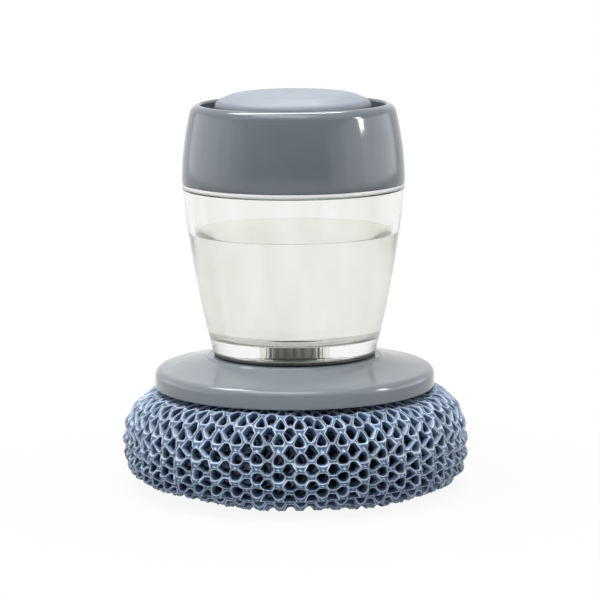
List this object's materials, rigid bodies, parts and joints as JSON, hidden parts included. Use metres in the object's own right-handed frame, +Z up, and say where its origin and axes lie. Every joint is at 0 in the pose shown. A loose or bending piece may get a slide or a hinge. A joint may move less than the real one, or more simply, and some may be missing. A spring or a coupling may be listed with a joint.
{
  "type": "soap dispensing palm scourer",
  "caption": "Palm scourer with a mesh head, a clear soap tank and a push-button pump in its screw cap, for washing dishes and pans.",
  "frame": {"origin": "centre of the ground contact, on the common axis of all turned pieces", "axes": "+Z up along that axis, from the scourer to the button"},
  "size_m": [0.096, 0.096, 0.1113],
  "materials": {
    "mesh": "blue-grey plastic net with a slight sheen",
    "inner_mesh": "crumpled dark mesh",
    "cord": "twisted cord",
    "clamp": "matt",
    "hub": "satin moulded plastic",
    "steel": "drawn steel",
    "grey_plate": "polished moulded plastic",
    "black_rubber": "matt",
    "clear_tank": "clear polished plastic",
    "dark_silicone": "soft satin",
    "dark_plastic": "satin",
    "white_silicone": "translucent satin",
    "grey_cap": "polished moulded plastic",
    "inner_grey": "satin",
    "inner_white": "satin",
    "button": "fine matt texture"
  },
  "bodies": {
    "head": {"scourer_net": "mesh", "scourer_core": "inner_mesh", "net_tie": "cord", "net_clamp": "clamp", "nozzle_hub": "hub", "hub_screw_1": "steel", "hub_screw_2": "steel", "hub_screw_3": "steel", "base_plate": "grey_plate"},
    "foot_seal": {"foot_gasket": "black_rubber"},
    "tank": {"tank": "clear_tank", "outlet_valve": "dark_silicone", "valve_retainer": "dark_plastic"},
    "mouth_seal": {"mouth_gasket": "white_silicone"},
    "cap": {"cap_shell": "grey_cap", "pump_floor": "inner_grey", "neck_seal": "black_rubber", "bellows_ring": "inner_white", "pump_bellows": "white_silicone", "return_spring": "steel"},
    "button": {"plunger": "inner_white", "push_button": "button"}
  },
  "joints": [
    {"name": "tank_lift", "type": "slide", "parent": "head", "child": "foot_seal", "axis": [0, 0, 1], "range_m": [0, 0.0041]},
    {"name": "tank_turn", "type": "hinge", "parent": "foot_seal", "child": "tank", "pos_m": [0, 0, 0.0375], "axis": [0, 0, 1], "range_deg": [0, 360]},
    {"name": "cap_lift", "type": "slide", "parent": "tank", "child": "mouth_seal", "axis": [0, 0, 1], "range_m": [0, 0.0076]},
    {"name": "cap_turn", "type": "hinge", "parent": "mouth_seal", "child": "cap", "pos_m": [0, 0, 0.0847], "axis": [0, 0, 1], "range_deg": [0, 450]},
    {"name": "button_press", "type": "slide", "parent": "cap", "child": "button", "axis": [0, 0, -1], "range_m": [0, 0.005], "stiffness_N_per_m": 500, "springref_m": -0.003, "deforming": ["pump_bellows", "return_spring"]}
  ],
  "couplings": [
    {"joint": "tank_lift", "follows": "tank_turn", "m_per_rad": 0.00063662},
    {"joint": "cap_lift", "follows": "cap_turn", "m_per_rad": 0.00095493}
  ]
}
